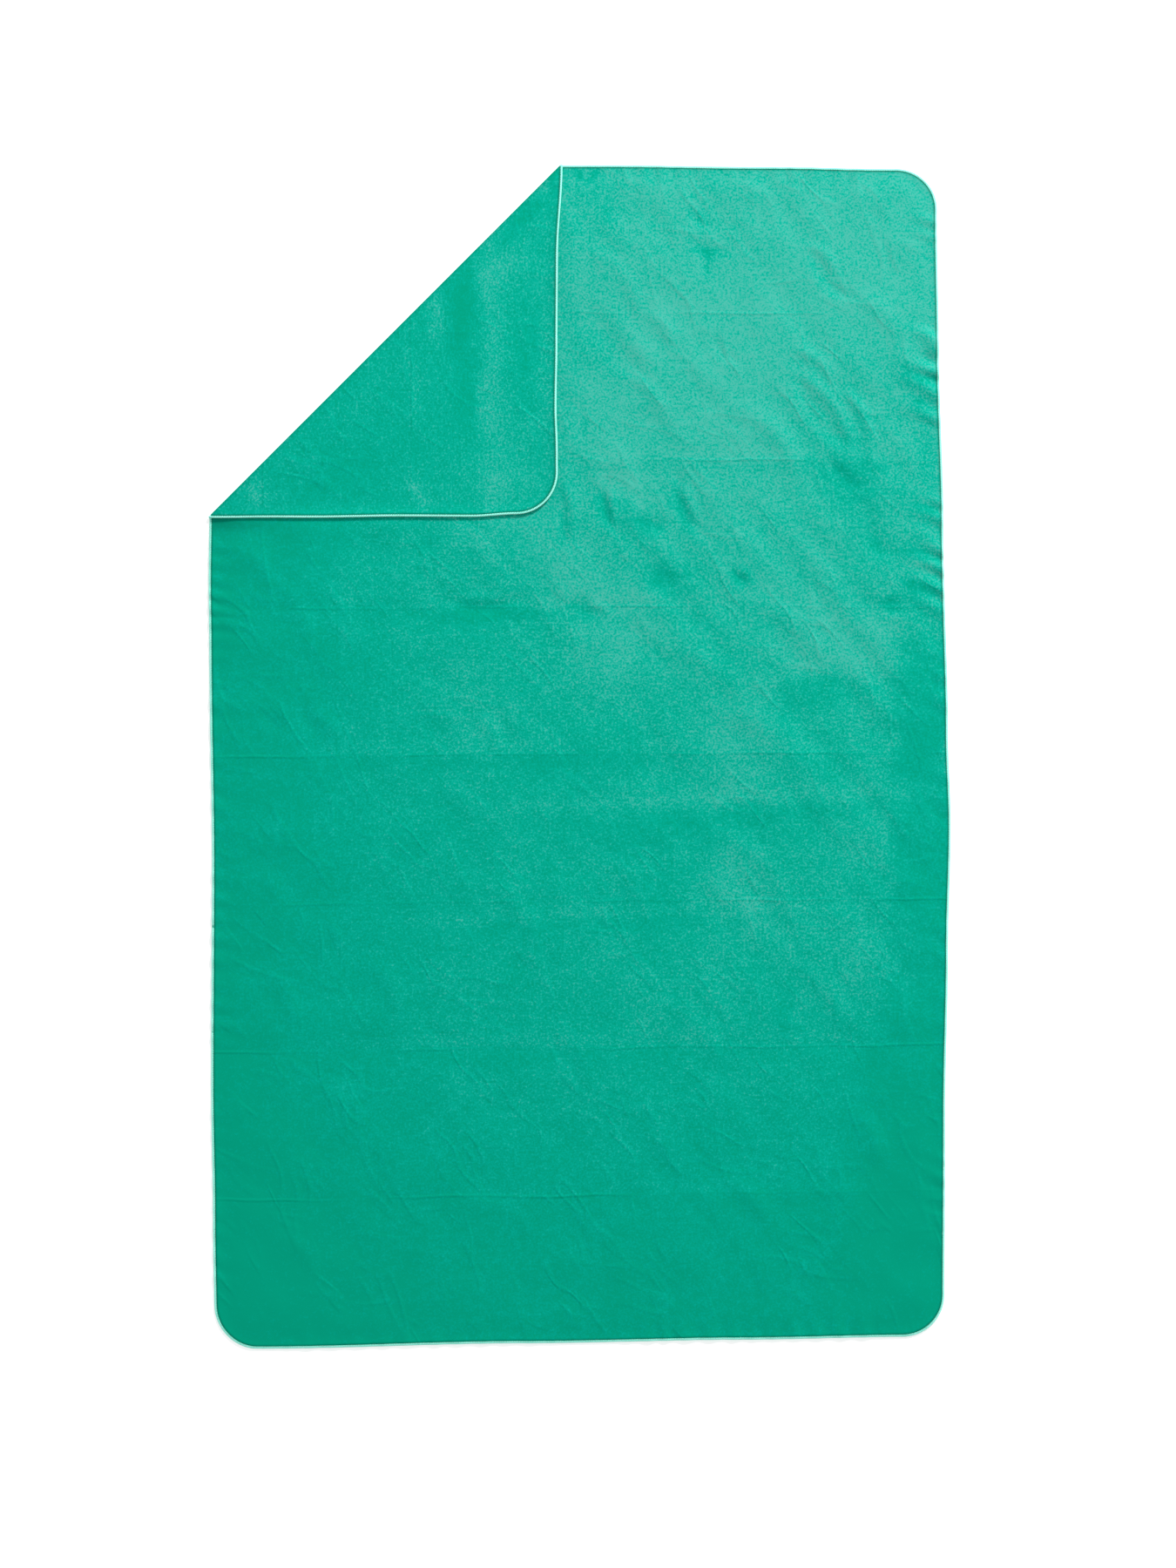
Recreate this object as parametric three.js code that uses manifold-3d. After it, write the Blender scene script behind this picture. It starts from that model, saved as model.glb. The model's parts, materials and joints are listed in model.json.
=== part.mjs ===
// Quick dry towel: one panel of microfibre cloth with rounded corners and an overlocked edge,
// laid flat with its top left corner folded over. Millimetres, +Z up. X runs across the towel,
// Y along it, and the origin is the middle of its underside.
import * as THREE from "three";
import { mergeVertices } from "three/addons/utils/BufferGeometryUtils.js";
import Module from "manifold-3d";

const wasm = await Module();
wasm.setup();

// Towel, laid flat and measured over its edging
const towelWidth = 800;
const towelLength = 1290;
const cornerRadius = 46;
const clothThickness = 0.9;

// Folded corner
const foldLeg = 385; // from the square corner to the fold's axis, along each edge
const layerGap = 1.8; // air inside the soft fold, between the folded corner and the cloth below it
const foldClearance = 0.3; // from the fold's axis to each panel, and from the bend to the edging

// Overlocked edge: two looper threads that wrap the raw edge, and the needle thread that holds them
const edgingWidth = 2.8;
const threadThickness = 0.2; // a looper thread, pressed flat
const needleThreadWidth = 0.3;
const stitchClearance = 0.1; // between a thread and what it lies beside

const arcSteps = 12; // flat faces in a quarter turn
const extrudeArcDivisions = arcSteps / 2; // a shape doubles its divisions on an arc

const rawEdge = threadThickness + stitchClearance; // how far the cloth stops short of the outline
const threadTop = clothThickness;
const threadSeat = clothThickness - threadThickness; // the upper side of the pressed rim

// The fold runs at 45 degrees across the top left corner. foldOut points away from the towel.
const foldOut = new THREE.Vector3(-1, 1, 0).normalize();
const foldAlong = new THREE.Vector3(1, 1, 0).normalize();
const foldHeight = clothThickness + layerGap / 2;
const foldOffset = (towelWidth / 2 + towelLength / 2 - foldLeg) / Math.SQRT2;
const foldMiddle = new THREE.Vector3(
  (foldLeg - towelWidth) / 2,
  (towelLength - foldLeg) / 2,
  foldHeight,
);

const clothMaterial = new THREE.MeshStandardMaterial({
  color: 0x12ac90,
  roughness: 0.95,
  metalness: 0,
});
const threadMaterial = new THREE.MeshStandardMaterial({
  color: 0x93eed2,
  roughness: 0.7,
  metalness: 0,
});

function toSolid(geometry) {
  const bare = geometry.clone();
  bare.deleteAttribute("normal");
  bare.deleteAttribute("uv");
  const merged = mergeVertices(bare, 1e-4);
  return new wasm.Manifold(
    new wasm.Mesh({
      numProp: 3,
      vertProperties: merged.attributes.position.array,
      triVerts: new Uint32Array(merged.index.array),
    }),
  );
}

function join(first, second) {
  const made = toSolid(first).add(toSolid(second)).getMesh();
  const geometry = new THREE.BufferGeometry();
  geometry.setAttribute("position", new THREE.BufferAttribute(made.vertProperties, 3));
  geometry.setIndex(new THREE.BufferAttribute(made.triVerts, 1));
  geometry.computeVertexNormals();
  return geometry;
}

// Where the outline, moved in by inset, crosses a line across the corner that is foldDistance out
function leftCrossing(inset, foldDistance) {
  const x = inset - towelWidth / 2;
  return new THREE.Vector2(x, x + foldDistance * Math.SQRT2);
}

function topCrossing(inset, foldDistance) {
  const y = towelLength / 2 - inset;
  return new THREE.Vector2(y - foldDistance * Math.SQRT2, y);
}

// The outline's stretch on the towel's side of the fold: down the left edge, along the bottom,
// up the right edge and back along the top
function mainEdge(inset, foldDistance) {
  const radius = cornerRadius - inset;
  const right = towelWidth / 2 - cornerRadius;
  const top = towelLength / 2 - cornerRadius;
  const start = leftCrossing(inset, foldDistance);
  const end = topCrossing(inset, foldDistance);
  const path = new THREE.Path();
  path.moveTo(start.x, start.y);
  path.lineTo(start.x, -top);
  path.absarc(-right, -top, radius, Math.PI, 1.5 * Math.PI, false);
  path.absarc(right, -top, radius, 1.5 * Math.PI, 2 * Math.PI, false);
  path.absarc(right, top, radius, 0, 0.5 * Math.PI, false);
  path.lineTo(end.x, end.y);
  return path.getPoints(extrudeArcDivisions);
}

// Its stretch on the corner's side of the fold, before the corner is folded over
function cornerEdge(inset, foldDistance) {
  const radius = cornerRadius - inset;
  const left = cornerRadius - towelWidth / 2;
  const top = towelLength / 2 - cornerRadius;
  const start = topCrossing(inset, foldDistance);
  const end = leftCrossing(inset, foldDistance);
  const path = new THREE.Path();
  path.moveTo(start.x, start.y);
  path.lineTo(left, start.y);
  path.absarc(left, top, radius, 0.5 * Math.PI, Math.PI, false);
  path.lineTo(end.x, end.y);
  return path.getPoints(extrudeArcDivisions);
}

function plate(points, low, high) {
  const geometry = new THREE.ExtrudeGeometry(new THREE.Shape(points), {
    depth: high - low,
    bevelEnabled: false,
  });
  geometry.translate(0, 0, low);
  return geometry;
}

// A panel of cloth, full thickness inside the edging and pressed thin under the threads
function panel(edge, foldDistance) {
  const field = plate(edge(edgingWidth + stitchClearance, foldDistance), 0, clothThickness);
  const rim = plate(edge(rawEdge, foldDistance), threadThickness, threadSeat);
  return join(field, rim);
}

// A ribbon of thread that follows the edge, from one inset to another
function ribbon(edge, foldDistance, outer, inner, low, high) {
  const there = edge(outer, foldDistance);
  const back = edge(inner, foldDistance).reverse();
  return plate([...there, ...back], low, high);
}

function needleThread(edge, foldDistance) {
  const outer = edgingWidth - needleThreadWidth;
  return ribbon(edge, foldDistance, outer, edgingWidth, threadSeat, threadTop);
}

function upperLooperThread(edge, foldDistance) {
  const inner = edgingWidth - needleThreadWidth - stitchClearance;
  return ribbon(edge, foldDistance, 0, inner, threadSeat, threadTop);
}

// The lower looper thread also wraps up round the raw edge to meet the upper one
function lowerLooperThread(edge, foldDistance) {
  const under = ribbon(edge, foldDistance, 0, edgingWidth, 0, threadThickness);
  const wrap = ribbon(edge, foldDistance, 0, threadThickness, 0, threadSeat);
  return join(under, wrap);
}

// The half round bend where the cloth turns over, between the edgings at its two ends
function bendMesh() {
  const innerRadius = layerGap / 2;
  const outerRadius = innerRadius + clothThickness;
  const section = new THREE.Shape();
  section.absarc(0, 0, outerRadius, -0.5 * Math.PI, 0.5 * Math.PI, false);
  section.absarc(0, 0, innerRadius, 0.5 * Math.PI, -0.5 * Math.PI, true);
  const endRoom = edgingWidth * Math.SQRT2 + outerRadius + foldClearance;
  const length = foldLeg * Math.SQRT2 - 2 * endRoom;
  const geometry = new THREE.ExtrudeGeometry(section, {
    depth: length,
    bevelEnabled: false,
    curveSegments: extrudeArcDivisions,
  });
  geometry.translate(0, 0, -length / 2);
  const mesh = named("fold_bend_cloth", geometry, clothMaterial);
  mesh.rotation.x = Math.PI / 2;
  return mesh;
}

function named(name, geometry, material) {
  const mesh = new THREE.Mesh(geometry, material);
  mesh.name = name;
  return mesh;
}

// A panel with the three threads along its edge
function edgedPanel(edge, foldDistance, names) {
  const group = new THREE.Group();
  group.add(
    named(names.cloth, panel(edge, foldDistance), clothMaterial),
    named(names.needle, needleThread(edge, foldDistance), threadMaterial),
    named(names.upper, upperLooperThread(edge, foldDistance), threadMaterial),
    named(names.lower, lowerLooperThread(edge, foldDistance), threadMaterial),
  );
  return group;
}

const group = new THREE.Group();

group.add(
  edgedPanel(mainEdge, foldOffset - foldClearance, {
    cloth: "main_cloth",
    needle: "needle_thread",
    upper: "upper_looper_thread",
    lower: "lower_looper_thread",
  }),
);

// The bend, in a frame whose X points out across the fold
const fold = new THREE.Group();
fold.position.copy(foldMiddle);
fold.rotation.z = Math.atan2(foldOut.y, foldOut.x);
fold.add(bendMesh());
group.add(fold);

// The corner, cut flat in its place and then turned half round the fold's axis
const corner = edgedPanel(cornerEdge, foldOffset + foldClearance, {
  cloth: "corner_cloth",
  needle: "corner_needle_thread",
  upper: "corner_upper_looper_thread",
  lower: "corner_lower_looper_thread",
});
corner.position.copy(foldMiddle).negate();
const cornerHinge = new THREE.Group();
cornerHinge.position.copy(foldMiddle);
cornerHinge.quaternion.setFromAxisAngle(foldAlong, Math.PI);
cornerHinge.add(corner);
group.add(cornerHinge);

export default group;
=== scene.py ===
import json
import math

import bmesh
import bpy
import numpy as np
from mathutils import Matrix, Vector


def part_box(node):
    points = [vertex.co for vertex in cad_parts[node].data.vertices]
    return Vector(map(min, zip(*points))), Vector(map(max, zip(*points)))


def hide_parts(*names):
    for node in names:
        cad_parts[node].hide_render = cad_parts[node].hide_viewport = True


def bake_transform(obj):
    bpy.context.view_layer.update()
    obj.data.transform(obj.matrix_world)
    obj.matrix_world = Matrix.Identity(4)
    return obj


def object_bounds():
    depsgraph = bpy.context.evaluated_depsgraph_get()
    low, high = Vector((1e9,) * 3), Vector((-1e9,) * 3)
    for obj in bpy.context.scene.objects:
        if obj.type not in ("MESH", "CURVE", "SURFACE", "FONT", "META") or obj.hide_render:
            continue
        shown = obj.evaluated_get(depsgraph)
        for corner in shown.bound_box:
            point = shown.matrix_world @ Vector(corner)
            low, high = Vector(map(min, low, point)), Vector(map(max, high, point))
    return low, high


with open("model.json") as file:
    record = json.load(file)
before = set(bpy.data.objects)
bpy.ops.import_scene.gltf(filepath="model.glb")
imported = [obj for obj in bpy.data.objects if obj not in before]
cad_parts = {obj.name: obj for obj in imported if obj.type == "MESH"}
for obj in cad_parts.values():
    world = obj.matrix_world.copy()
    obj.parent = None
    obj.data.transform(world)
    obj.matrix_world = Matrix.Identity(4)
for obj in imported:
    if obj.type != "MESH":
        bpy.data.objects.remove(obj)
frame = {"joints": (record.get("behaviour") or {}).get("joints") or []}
cadLow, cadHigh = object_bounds()

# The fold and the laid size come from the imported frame
hinge = frame["joints"][0]
hingePoint = np.array(hinge["pos_m"])
halfWidth = cadHigh.x
halfLength = cadHigh.y
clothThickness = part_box("main_cloth")[1].z

foldOut = np.array([-1.0, 1.0]) / math.sqrt(2)  # points away from the towel, across the fold
foldLine = float(hingePoint[:2] @ foldOut)
foldHeight = hingePoint[2]
bendRadius = foldHeight - clothThickness / 2  # to the middle of the cloth
bendLength = math.pi * bendRadius

towel = {
    "cornerRadius": 0.046,
    "cell": (0.0064, 0.0036),  # size of a mesh cell: plain, and fine where the wrinkles are sharper
    "finePast": (-0.03, 0.10),  # x and y from where the fine cells start
    "cornerSteps": 10,
    "bendSteps": 7,  # in each quarter of the bend
    "pressed": 0.5,  # share of the thickness that is left under the threads
    "thickens": (0.0020, 0.0010),  # inset where it starts to thicken, and over how far
    "valleyShade": (0.0025, 0.0009),  # painted shade in the pressed valley beside the threads: inset and half width
    "bendShade": (0.5, 0.65, 0.4),  # painted shade on the bend: how dark, its darkest place and reach in bend lengths
    # painted shadow below the left end of the fold: how dark, x and its reach, y and its reach
    "foldEndShade": (0.65, -0.39, 0.06, 0.253, 0.008),
    # insets of the rows of points along the edge, close together at the seam
    "rows": [0.0003, 0.0009, 0.0015, 0.0020, 0.0025, 0.0032, 0.0048, 0.0074, 0.011,
             0.016, 0.023, 0.033, 0.046],
}


def smooth(t):
    t = np.clip(t, 0, 1)
    return t * t * (3 - 2 * t)


def between(value, stops):  # an even curve through (place, amount) pairs, in millimetres
    places = [place / 1000 for place, amount in stops]
    amounts = [amount / 1000 for place, amount in stops]
    index = np.clip(np.searchsorted(places, value) - 1, 0, len(places) - 2)
    start = np.array(places)[index]
    span = np.array(places)[index + 1] - start
    first = np.array(amounts)[index]
    return first + (np.array(amounts)[index + 1] - first) * smooth((value - start) / span)


def hills(x, y, size, seed, stretch=1, turn=0):  # smooth random hills, from -1 to 1
    angle = math.radians(turn)
    middle = 500.5  # keeps the grid's numbers above zero
    along = (x * math.cos(angle) + y * math.sin(angle)) / (size * stretch) + middle
    across = (y * math.cos(angle) - x * math.sin(angle)) / size + middle
    i, j = np.floor(along).astype(int), np.floor(across).astype(int)
    fi, fj = along - i, across - j
    fi, fj = fi ** 3 * (fi * (fi * 6 - 15) + 10), fj ** 3 * (fj * (fj * 6 - 15) + 10)
    table = np.random.default_rng(seed).uniform(-1, 1, 4096)

    def corner(a, b):  # a number of the table for each corner of the grid, well mixed
        return table[(a * 73 + b * 179 + (a * b) % 997) % len(table)]

    low = corner(i, j) * (1 - fi) + corner(i + 1, j) * fi
    high = corner(i, j + 1) * (1 - fi) + corner(i + 1, j + 1) * fi
    return low * (1 - fj) + high * fj


# How the edges wander from straight as the towel is laid: (place along the edge, drift), in mm
drift = {
    "left": [(-645, 6), (-500, 4), (-360, 2), (-120, 3), (120, 0), (257, -4), (645, -4)],
    "right": [(-645, 2), (-400, 3), (-220, 6), (-80, 9), (20, 6), (255, 1), (450, -4), (590, -6),
              (645, -5)],
    "top": [(-400, 0), (0, 0), (225, -2), (340, -4), (400, -4)],
    "bottom": [(-400, -1), (-355, -2), (-60, 4), (180, 8), (360, 11), (400, 11)],
    "flapSide": [(230, -4.6), (330, -5.2), (380, -6.6), (450, -5.6), (560, -5), (625, -5), (660, -3)],
    "flapFoot": [(-400, 0), (-350, 0.6), (-290, 0.2), (-190, 1.5), (-110, 1.2), (-60, 4), (0, 4)],
    "calm": (0.12, 0.07),  # no drift at the fold, all of it this far away on the towel and the corner
    "flapSideFrom": -0.20,  # the corner's side drifts to the right of this x, and its foot below this y
    "flapFootFrom": 0.45,
    "flapOver": 0.15,
}


def edgeDrift(x, y, fromFold):
    rightShare = (x + halfWidth) / (2 * halfWidth)
    topShare = (y + halfLength) / (2 * halfLength)
    share = smooth(fromFold / drift["calm"][0])
    dx = between(y, drift["left"]) * (1 - rightShare) + between(y, drift["right"]) * rightShare
    dy = between(x, drift["bottom"]) * (1 - topShare) + between(x, drift["top"]) * topShare
    return dx * share, dy * share


# Creases from how it was packed, at each eighth of the length: (height in mm, from x, to x)
creases = {
    "count": 8,
    "slope": 0.010,
    "ends": 30,  # each fades out over twice this at its ends, in mm
    "wander": (0.0012, 0.07),  # from straight: how far and how often, in metres
    "strength": (0.65, 0.6, 0.06),  # share that is even, share that comes and goes, over what size
    "lines": [(-0.2, -400, 400), (0.3, -400, 400), (-0.3, -400, 400), (0.4, -400, 400),
              (-0.4, -170, 130), (-0.5, -400, 400), (0.4, 90, 330)],
    "upright": [(-200, 0.15), (0, -0.18), (200, 0.18)],  # and along the length, fainter
    "uprightWander": (0.0015, 0.09),
    "uprightStrength": (0.3, 0.9, 0.12),
}

# Wrinkles that its laying left: middle x and y, length, direction in degrees, width, height, in mm
wrinkles = [
    (277, 550, 34, -42, 5, 0.55), (280, 520, 58, -50, 7, -0.55), (70, 604, 22, -8, 4, 0.3),
    (139, 584, 26, -45, 5, -0.4), (156, 551, 42, -6, 5, -0.42), (147, 541, 22, -84, 5, -0.4),
    (269, 432, 50, -42, 6, 0.5), (164, 441, 36, -47, 5, -0.42), (81, 402, 52, -40, 6, 0.4),
    (284, 384, 96, -56, 8, 0.75), (262, 372, 84, -57, 7, -0.5), (318, 368, 66, -68, 6, 0.6),
    (100, 470, 40, -50, 6, 0.35), (60, 520, 80, -58, 8, 0.4), (210, 610, 60, -45, 7, 0.3),
    (350, 470, 90, -60, 10, 0.5), (330, 610, 50, -30, 7, 0.4), (220, 350, 90, -50, 10, 0.4),
    (117, 269, 62, -68, 6, -0.9), (125, 272, 54, -68, 6, 0.6), (33, 270, 56, -80, 5, -0.8),
    (41, 268, 54, -82, 6, 0.6), (-2, 262, 70, -86, 5, 0.4), (-14, 258, 66, -88, 4, -0.35),
    (81, 250, 30, -25, 8, -0.5), (92, 190, 30, -40, 12, -0.5), (178, 193, 22, -42, 6, -0.6),
    (184, 196, 22, -42, 5, 0.5), (297, 300, 50, -30, 8, -0.5), (325, 232, 34, -55, 9, -0.6),
    (342, 161, 16, -80, 9, -0.7), (9, 158, 26, -40, 7, -0.5), (28, 160, 22, -30, 4, 0.4),
    (250, 130, 120, -48, 12, 0.45), (150, 90, 120, -42, 12, 0.35), (210, 20, 130, -40, 12, 0.4),
    (-102, 160, 72, 0, 7, -0.8), (-102, 168, 76, 0, 7, 0.45), (-160, 228, 16, -30, 9, -0.5),
    (-331, 41, 30, -50, 7, -0.7), (-326, 46, 30, -50, 5, 0.6), (-297, 43, 22, -55, 6, -0.5),
    (-270, 34, 44, -48, 7, 0.55), (-93, 24, 42, -62, 6, 0.5), (-84, 26, 42, -62, 6, -0.35),
    (-300, 160, 70, -64, 9, 0.4), (-340, 205, 50, -58, 8, 0.4), (-120, -60, 90, -55, 11, 0.4),
    (-60, -180, 90, -60, 10, 0.45), (60, -150, 110, -52, 11, 0.4), (200, -120, 90, -46, 10, 0.4),
    (-200, -260, 80, -66, 9, 0.5), (-160, -300, 60, -60, 8, -0.4), (-260, -380, 70, -50, 9, 0.35),
    (0, -330, 90, -58, 10, 0.35), (130, -300, 90, -48, 10, 0.4), (270, -260, 80, -54, 9, 0.4),
    (-330, -150, 60, -70, 8, 0.4), (-318, -262, 60, -62, 8, 0.4), (320, -420, 60, -64, 8, 0.4),
    (180, -480, 70, -40, 9, 0.3), (-80, -500, 80, -30, 9, 0.3), (-300, -540, 50, -50, 8, 0.35),
    (-382, -92, 5, 0, 3, -0.5), (-382, -230, 5, 0, 3, -0.5),
]

# Ripples where the sewn edge has drawn in: edge, from and to along it, spacing, reach, height, in mm
ripples = [
    ("right", 545, 610, 19, 34, 1.2), ("right", 350, 480, 28, 44, 1.9), ("right", 140, 300, 25, 42, 1.4),
    ("right", 20, 130, 27, 30, 0.9), ("right", -330, 10, 34, 26, 0.7), ("right", -560, -420, 25, 30, 0.9),
    ("left", 90, 250, 18, 36, 1.1), ("left", -90, 80, 27, 30, 0.8), ("left", -330, -110, 22, 30, 0.9),
    ("left", -600, -370, 26, 26, 0.7), ("bottom", -330, -20, 27, 24, 0.6), ("bottom", 40, 340, 24, 28, 0.7),
    ("top", 20, 330, 24, 26, 0.6),
]

relief = {
    "broad": (0.13, 0.9),  # size in metres, height in mm
    "wrinkle": 2.1,
    "ripple": 1.6,
    "pulled": (0.020, 0.55),  # long soft wrinkles down to the right
    "pulledTurn": -52,
    "pulledStretch": 4.5,
    "small": (0.034, 0.42),
    "fine": (0.0125, 0.10),
    "pulledLeast": 0.35,  # share of them at the lower left, growing to all at the upper right
    "pulledRise": (0.6, -0.25, 0.6),  # slant of that border, where it starts and over how far
    "edgeLift": 0.34,  # the threads under the edge hold it off the floor
    "edgeReach": 0.014,
    "edgeShare": 0.25,  # share of the relief that is left at the edge
    "insideFrom": 0.03,  # all of it this far in, where the cloth also stands this much higher, in mm
    "standing": 0.6,
    "floorSoftness": 0.0002,
    "foldReach": 0.035,  # flat at the fold
    "ripplesFrom": 0.05,
    "underFlap": 0.35,  # share of the relief that is left under the folded corner
    "flapCovers": (0, 0.245, 0.03),  # left of this x and above this y, and over how far
    "bow": 0.12,  # how much a wrinkle bends along its length
    "rippleEnds": 25,  # a run of ripples fades in over this, in mm
    "rippleWander": (0.03, 1.8),  # size in metres, turn in radians
    "rippleUneven": (0.045, 0.5),
    "rippleSlant": {"left": 9, "right": -22, "bottom": 9, "top": -9},  # waves per metre inward
}


def wrinkleHeight(x, y):
    total = np.zeros_like(x)
    for middleX, middleY, length, direction, width, height in wrinkles:
        angle = math.radians(direction)
        dx, dy = x - middleX / 1000, y - middleY / 1000
        along = (dx * math.cos(angle) + dy * math.sin(angle)) / (length / 2000)
        bow = relief["bow"] * length / 1000 * (along ** 2) * math.copysign(1, height)
        across = (dy * math.cos(angle) - dx * math.sin(angle) + bow) / (width / 1000)
        total += height / 1000 * np.exp(-across ** 2 - along ** 4 * 0.7)
    return total


def rippleHeight(x, y):
    places = {"left": (y, x + halfWidth), "right": (y, halfWidth - x),
              "bottom": (x, y + halfLength), "top": (x, halfLength - y)}
    ends = relief["rippleEnds"]
    often, turn = relief["rippleWander"]
    size, uneven = relief["rippleUneven"]
    total = np.zeros_like(x)
    for number, (edge, start, end, spacing, reach, height) in enumerate(ripples):
        along, inward = places[edge]
        wander = hills(along, inward, often, 40 + number) * turn
        waves = along * 1000 / spacing + inward * relief["rippleSlant"][edge]
        wave = 0.5 + 0.5 * np.cos(2 * math.pi * waves + wander)
        spread = smooth((along * 1000 - start) / ends) * smooth((end - along * 1000) / ends)
        fade = np.exp(-(inward * 1000 / reach * 1.6) ** 2)  # a thirteenth is left at its reach
        strong = 0.75 + uneven * hills(along, inward, size, 70 + number)
        total += height / 1000 * spread * fade * strong * wave
    return total


def creaseHeight(x, y):
    total = np.zeros_like(x)
    step = 2 * halfLength / creases["count"]
    ends, (far, often), (even, uneven, size) = creases["ends"], creases["wander"], creases["strength"]
    for number, (height, start, end) in enumerate(creases["lines"]):
        line = halfLength - step * (number + 1) + far * hills(x, y * 0, often, 90 + number)
        spread = smooth((x * 1000 - start + ends) / (2 * ends))
        spread *= smooth((end + ends - x * 1000) / (2 * ends))
        strong = even + uneven * hills(x, y * 0, size, 100 + number)
        total += height / 1000 * spread * strong * np.exp(-np.abs(y - line) / creases["slope"])
    (far, often), (even, uneven, size) = creases["uprightWander"], creases["uprightStrength"]
    for number, (place, height) in enumerate(creases["upright"]):
        line = place / 1000 + far * hills(y, x * 0, often, 120 + number)
        strong = np.clip(even + uneven * hills(y, x * 0, size, 130 + number), 0, 1)
        total += height / 1000 * strong * np.exp(-np.abs(x - line) / creases["slope"])
    return total


def insetOf(x, y):  # distance in from the cut edge, in the flat towel
    radius = towel["cornerRadius"]
    cornerX = np.abs(x) - (halfWidth - radius)
    cornerY = np.abs(y) - (halfLength - radius)
    rounded = radius - np.hypot(np.maximum(cornerX, 0), np.maximum(cornerY, 0))
    return np.where((cornerX > 0) & (cornerY > 0), rounded, radius - np.maximum(cornerX, cornerY))


def edgeLift(inset):
    return relief["edgeLift"] / 1000 * (1 - smooth(inset / relief["edgeReach"]))


def mainRelief(x, y):  # height of the laid towel's cloth over where it would lie flat
    pulled = hills(x, y, relief["pulled"][0], 3, relief["pulledStretch"], relief["pulledTurn"])
    least, (slant, start, over) = relief["pulledLeast"], relief["pulledRise"]
    upperRight = least + (1 - least) * smooth((x + y * slant - start) / over)
    height = relief["broad"][1] * (0.5 + 0.5 * hills(x, y, relief["broad"][0], 1))
    height += relief["pulled"][1] * pulled * upperRight
    height += relief["small"][1] * hills(x, y, relief["small"][0], 5)
    height += relief["fine"][1] * hills(x, y, relief["fine"][0], 6)
    height = height / 1000 + relief["wrinkle"] * wrinkleHeight(x, y) + creaseHeight(x, y)
    inside = smooth(insetOf(x, y) / relief["insideFrom"])
    height *= relief["edgeShare"] + (1 - relief["edgeShare"]) * inside
    height += relief["standing"] / 1000 * inside
    soft = relief["floorSoftness"]
    height = soft * np.logaddexp(0, height / soft)  # rests on the floor, never through it
    fromFold = foldLine - (y - x) / math.sqrt(2)
    leftOf, above, over = relief["flapCovers"]
    covered = smooth((leftOf - x) / over) * smooth((y - above) / over)
    height *= 1 - (1 - relief["underFlap"]) * covered
    ripple = relief["ripple"] * rippleHeight(x, y) * smooth(fromFold / relief["ripplesFrom"])
    return height * smooth(fromFold / relief["foldReach"]) + ripple


# The folded corner: how it comes down from the bend on to the cloth below, and its own relief
flap = {
    "air": 0.00012,  # to the cloth below
    "sagReach": 0.062,
    "slowSag": (0.9, 0.09),  # it comes down later at the fold's left end: how much and within what
    "broad": (0.075, 0.42, 1.6, 70),  # size in metres, height in mm, stretch, turn in degrees
    "small": (0.026, 0.10, 2, 60),
    "tipLift": (0.55, 0.07),  # the rounded corner curls up a little: height in mm, reach in metres
    "edgeCurl": (0.5, 0.007),
    "edgeWave": (0.25, 0.02, 0.03),  # and how often, in metres
}


def flapHeight(x, y, flatX, flatY, fromFold):
    below = mainRelief(x, y)
    inset = insetOf(flatX, flatY)
    own = np.zeros_like(flatX)
    for seed, (size, height, stretch, turn) in ((21, flap["broad"]), (22, flap["small"])):
        own += height * (0.5 + 0.5 * hills(flatX, flatY, size, seed, stretch, turn))
    height, reach = flap["edgeCurl"]
    own += height * np.exp(-(inset / reach) ** 2)
    height, reach, often = flap["edgeWave"]
    own += height * np.exp(-(inset / reach) ** 2) * (0.5 + 0.5 * hills(flatX, flatY, often, 23))
    height, reach = flap["tipLift"]
    own += height * (1 - smooth(np.hypot(flatX + halfWidth, flatY - halfLength) / reach))
    own = own / 1000 * smooth(fromFold / relief["foldReach"])
    resting = clothThickness * 1.5 + flap["air"] + below + own + edgeLift(inset)
    atBend = foldHeight + bendRadius
    amount, reach = flap["slowSag"]
    slow = 1 + amount * np.exp(-((x + halfWidth) / reach) ** 2)
    return resting + (atBend - resting) * (1 - smooth(fromFold / flap["sagReach"] / slow))


def lay(cut):  # from the flat cut cloth to where the middle of the cloth lies
    past = cut @ foldOut - foldLine
    out = np.empty((len(cut), 3))

    isMain = past <= 0
    x, y = cut[isMain, 0], cut[isMain, 1]
    dx, dy = edgeDrift(x, y, -past[isMain])
    out[isMain, 0], out[isMain, 1] = x + dx, y + dy
    lift = edgeLift(insetOf(x, y)) * smooth(-past[isMain] / 0.02)
    out[isMain, 2] = clothThickness / 2 + mainRelief(x, y) + lift

    isBend = (past > 0) & (past < bendLength)
    turn = past[isBend] / bendRadius
    shift = bendRadius * np.sin(turn) - past[isBend]
    out[isBend, :2] = cut[isBend] + shift[:, None] * foldOut
    out[isBend, 2] = foldHeight - bendRadius * np.cos(turn)

    isFlap = past >= bendLength
    beyond = past[isFlap] - bendLength
    flat = cut[isFlap] - bendLength * foldOut
    plan = flat - 2 * beyond[:, None] * foldOut
    calm = smooth(beyond / drift["calm"][1])
    nearSide = smooth((plan[:, 0] - drift["flapSideFrom"]) / drift["flapOver"])
    nearFoot = smooth((drift["flapFootFrom"] - plan[:, 1]) / drift["flapOver"])
    out[isFlap, 0] = plan[:, 0] + between(plan[:, 1], drift["flapSide"]) * calm * nearSide
    out[isFlap, 1] = plan[:, 1] + between(plan[:, 0], drift["flapFoot"]) * calm * nearFoot
    out[isFlap, 2] = flapHeight(plan[:, 0], plan[:, 1], flat[:, 0], flat[:, 1], beyond)
    return out


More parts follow.
